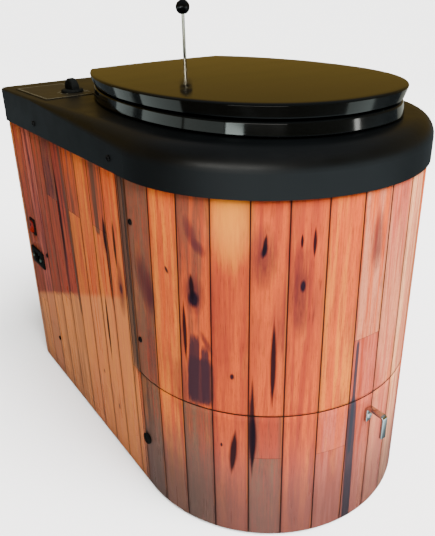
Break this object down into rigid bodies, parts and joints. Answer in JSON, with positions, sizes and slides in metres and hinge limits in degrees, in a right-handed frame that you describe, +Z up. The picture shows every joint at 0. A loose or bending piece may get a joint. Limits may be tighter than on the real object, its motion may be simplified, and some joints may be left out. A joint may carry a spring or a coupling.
{
  "type": "incinerating toilet",
  "caption": "Free-standing incinerating toilet with a round wood-grain front, black moulded top, hinged seat and lid, pull lever that opens the trap, and a slide-out ash drawer.",
  "frame": {"origin": "on the floor, under the centre of the round front", "axes": "+Z up, the front looks along -Y, +X to the right of someone who looks along +Y"},
  "size_m": [0.4126, 0.7155, 0.6425],
  "materials": {
    "wood_grain_panel": "glossy wood-grain laminate",
    "cover_black": "satin moulded",
    "seat_black": "high gloss",
    "control_black": "satin",
    "rocker_red": "gloss",
    "plate_grey": "satin printed foil",
    "rubber_black": "matte",
    "stainless": "brushed",
    "bright_rod": "polished",
    "zinc_sheet": "zinc plated sheet",
    "heat_steel": "heat-tinted",
    "screw_black": "black oxide",
    "pin_brass": "plated",
    "insulation": "ceramic fibre"
  },
  "bodies": {
    "casing": {"right_panel": "wood_grain_panel", "left_panel": "wood_grain_panel", "front_panel": "wood_grain_panel", "rear_panel": "zinc_sheet", "casing_screws": "screw_black", "base_pan": "zinc_sheet", "front_posts": "zinc_sheet", "rear_posts": "zinc_sheet", "chamber_shelf": "zinc_sheet", "shelf_brackets": "zinc_sheet", "top_cover": "cover_black", "hinge_posts": "control_black", "hinge_pins": "stainless", "hinge_bolts": "stainless", "bowl": "stainless", "bowl_gasket": "rubber_black", "chamber_liner": "heat_steel", "chamber_insulation": "insulation", "chamber_casing": "heat_steel", "chamber_plate": "heat_steel", "heater_element": "heat_steel", "temperature_probe": "heat_steel", "exhaust_duct": "heat_steel", "trap_bearings": "zinc_sheet", "lever_bush": "control_black", "blower_housing": "zinc_sheet", "blower_motor": "zinc_sheet", "blower_stand": "zinc_sheet", "flue_pipe": "stainless", "drawer_runners": "zinc_sheet", "control_plate": "plate_grey", "timer_body": "control_black", "switch_frame": "control_black", "mains_inlet": "control_black", "inlet_pins": "pin_brass", "control_box": "control_black"},
    "seat": {"seat": "seat_black", "seat_bumpers": "rubber_black", "seat_hinge_leaves": "stainless"},
    "lid": {"lid": "seat_black", "lid_bumpers": "rubber_black", "lid_hinge_leaves": "stainless"},
    "lever": {"lever_ball": "seat_black", "lever_rod": "bright_rod", "lever_yoke": "zinc_sheet"},
    "trap": {"trap_flap": "stainless", "trap_shaft": "stainless", "trap_crank": "zinc_sheet", "trap_weight": "zinc_sheet"},
    "drawer": {"drawer_front": "wood_grain_panel", "drawer_tray": "zinc_sheet", "ash_pan": "stainless", "drawer_pull": "stainless", "drawer_pull_screw": "stainless"},
    "right_thumbscrew": {"right_thumbscrew": "control_black"},
    "left_thumbscrew": {"left_thumbscrew": "control_black"},
    "timer": {"timer_knob": "control_black", "timer_spindle": "stainless"},
    "rocker": {"switch_rocker": "rocker_red"},
    "impeller": {"blower_impeller": "zinc_sheet"}
  },
  "joints": [
    {"name": "seat_hinge", "type": "hinge", "parent": "casing", "child": "seat", "pos_m": [0, 0.286, 0.5365], "axis": [1, 0, 0], "range_deg": [-95, 0]},
    {"name": "lid_hinge", "type": "hinge", "parent": "seat", "child": "lid", "pos_m": [0, 0.286, 0.5365], "axis": [-1, 0, 0], "range_deg": [0, 100]},
    {"name": "lever_lift", "type": "slide", "parent": "casing", "child": "lever", "axis": [0, 0, 1], "range_m": [0, 0.07004]},
    {"name": "trap_swing", "type": "hinge", "parent": "casing", "child": "trap", "pos_m": [0.076, 0, 0.326], "axis": [0, -1, 0], "range_deg": [0, 62.1]},
    {"name": "drawer_slide", "type": "slide", "parent": "casing", "child": "drawer", "axis": [0, -1, 0], "range_m": [0, 0.28]},
    {"name": "right_thumbscrew_turn", "type": "hinge", "parent": "drawer", "child": "right_thumbscrew", "pos_m": [0.2, 0.0025, 0.09], "axis": [1, 0, 0], "range_deg": [0, 270]},
    {"name": "left_thumbscrew_turn", "type": "hinge", "parent": "drawer", "child": "left_thumbscrew", "pos_m": [-0.2, 0.0025, 0.09], "axis": [-1, 0, 0], "range_deg": [0, 270]},
    {"name": "timer_turn", "type": "hinge", "parent": "casing", "child": "timer", "pos_m": [-0.132, 0.3, 0.518], "axis": [0, 0, -1], "range_deg": [0, 270]},
    {"name": "rocker_tilt", "type": "hinge", "parent": "casing", "child": "rocker", "pos_m": [-0.2, 0.384, 0.287], "axis": [0, -1, 0], "range_deg": [0, 20]},
    {"name": "impeller_spin", "type": "hinge", "parent": "casing", "child": "impeller", "pos_m": [-0.06, 0.235, 0.29], "axis": [0, 1, 0], "continuous": true}
  ],
  "couplings": [
    {"joint": "trap_swing", "follows": "lever_lift", "rad_per_m": 15.449}
  ]
}
